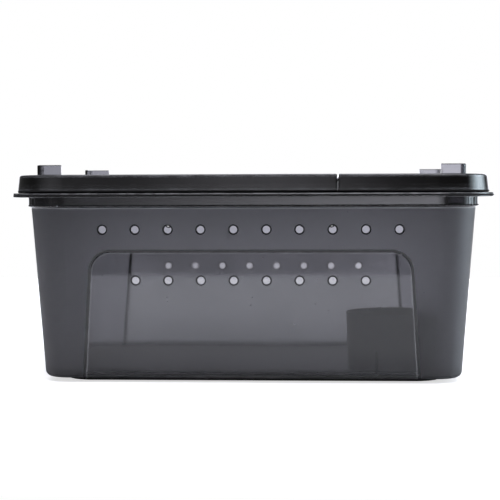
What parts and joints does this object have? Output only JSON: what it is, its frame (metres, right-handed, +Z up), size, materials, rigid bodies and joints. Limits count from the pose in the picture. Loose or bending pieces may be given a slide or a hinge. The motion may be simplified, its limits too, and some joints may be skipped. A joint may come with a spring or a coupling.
{
  "type": "reptile terrarium box",
  "caption": "Smoky clear reptile box with vented drafted walls, clear windows front and back, a lift-off lid frame, two hinged lid leaves with stacking lugs, and a corner cup.",
  "frame": {"origin": "on the ground under the middle of the box", "axes": "+X along the long side towards the small leaf, -Y to the front, by the cup, +Z up"},
  "size_m": [0.32, 0.22, 0.1437],
  "materials": {
    "tub_plastic": "smoky translucent, matte outside, clear windows",
    "frame_plastic": "smoky translucent, glossy",
    "leaf_plastic": "dark smoky, glossy",
    "cup_plastic": "dark smoky, satin"
  },
  "bodies": {
    "tub": {"tub": "tub_plastic"},
    "lid": {"lid_frame": "frame_plastic"},
    "large_leaf": {"large_leaf": "leaf_plastic"},
    "small_leaf": {"small_leaf": "leaf_plastic"},
    "cup": {"corner_cup": "cup_plastic"}
  },
  "joints": [
    {"name": "lid_lift", "type": "slide", "parent": "tub", "child": "lid", "axis": [0, 0, 1], "range_m": [0, 0.04]},
    {"name": "large_leaf_hinge", "type": "hinge", "parent": "lid", "child": "large_leaf", "pos_m": [0.05455, 0, 0.1355], "axis": [0, 1, 0], "range_deg": [0, 85]},
    {"name": "small_leaf_hinge", "type": "hinge", "parent": "lid", "child": "small_leaf", "pos_m": [0.05945, 0, 0.1355], "axis": [0, -1, 0], "range_deg": [0, 85]},
    {"name": "cup_lift", "type": "slide", "parent": "tub", "child": "cup", "axis": [0, 0, 1], "range_m": [0, 0.05]}
  ]
}
